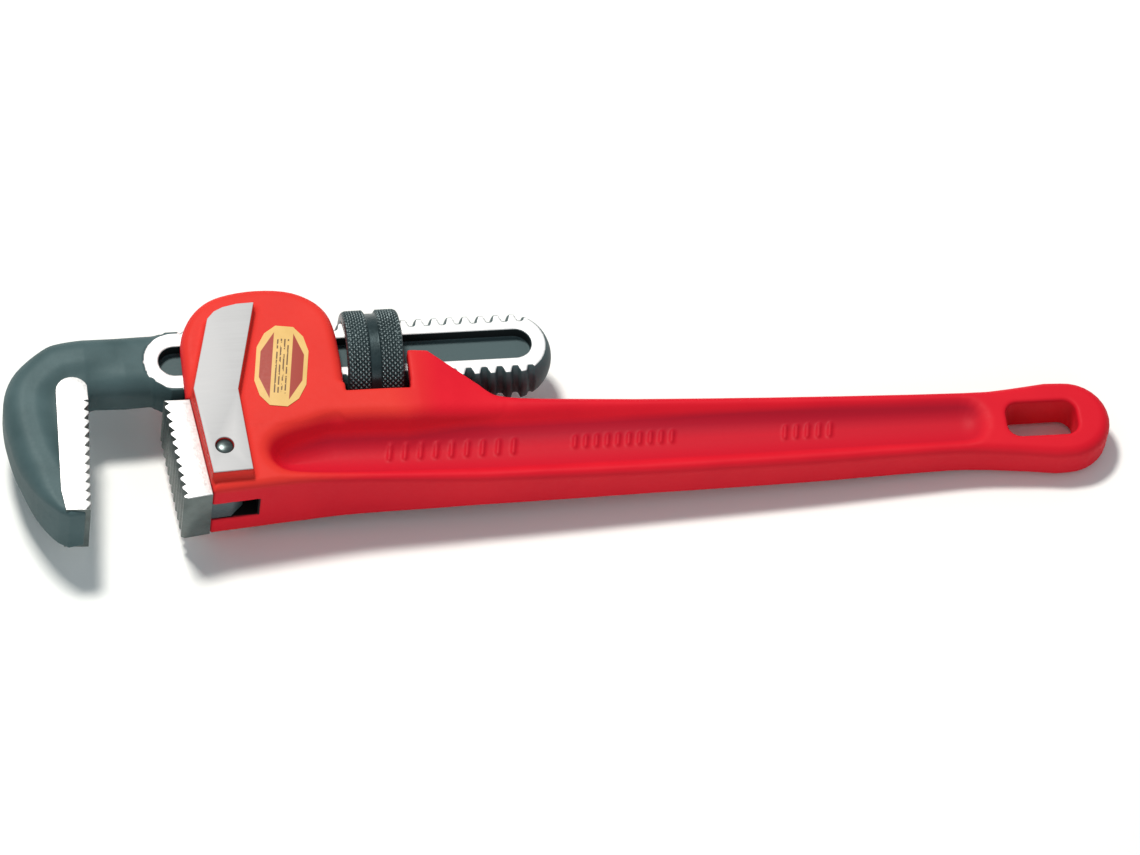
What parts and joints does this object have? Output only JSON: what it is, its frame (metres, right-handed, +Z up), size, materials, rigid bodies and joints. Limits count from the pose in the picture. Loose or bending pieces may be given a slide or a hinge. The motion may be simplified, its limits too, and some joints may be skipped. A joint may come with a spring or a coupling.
{
  "type": "pipe wrench",
  "caption": "Straight pipe wrench with a cast handle and housing, a threaded hook jaw moved by a knurled ring nut, and a pinned, toothed heel jaw.",
  "frame": {"origin": "centre of the outline, on the plane of the two lower ground pads that the wrench lies on", "axes": "+X along the wrench towards the grip's end, +Y towards the wrench's back, +Z up out of its upper side"},
  "size_m": [0.4486, 0.1014, 0.0446],
  "materials": {
    "red_enamel": "red enamel over cast iron",
    "forged_steel": "dark heat-treated forging",
    "ground_steel": "ground bright",
    "pin_steel": "black oxide",
    "nut_steel": "dark oxide, knurled",
    "spring_steel": "bright spring steel",
    "foil_label": "printed foil"
  },
  "bodies": {
    "handle": {"handle": "red_enamel", "heel_jaw": "ground_steel", "heel_jaw_pin": "pin_steel", "label": "foil_label"},
    "spring_pack": {"flat_spring": "spring_steel", "coil_spring": "spring_steel", "spring_rivet": "pin_steel"},
    "hook_jaw": {"hook_jaw": "forged_steel"},
    "nut": {"adjusting_nut": "nut_steel"}
  },
  "joints": [
    {"name": "jaw_rock", "type": "hinge", "parent": "handle", "child": "spring_pack", "pos_m": [-0.0735, 0.02165, 0.0223], "axis": [0, 0, 1], "range_deg": [0, 2.5], "stiffness_Nm_per_rad": 8, "springref_deg": -5.73, "deforming": ["coil_spring"]},
    {"name": "jaw_slide", "type": "slide", "parent": "spring_pack", "child": "hook_jaw", "axis": [-1, 0, 0], "range_m": [-0.028, 0.0434]},
    {"name": "nut_spin", "type": "hinge", "parent": "spring_pack", "child": "nut", "pos_m": [-0.0735, 0.02165, 0.0223], "axis": [1, 0, 0], "range_deg": [-1600, 2480]}
  ],
  "couplings": [
    {"joint": "nut_spin", "follows": "jaw_slide", "rad_per_m": 989.48}
  ]
}
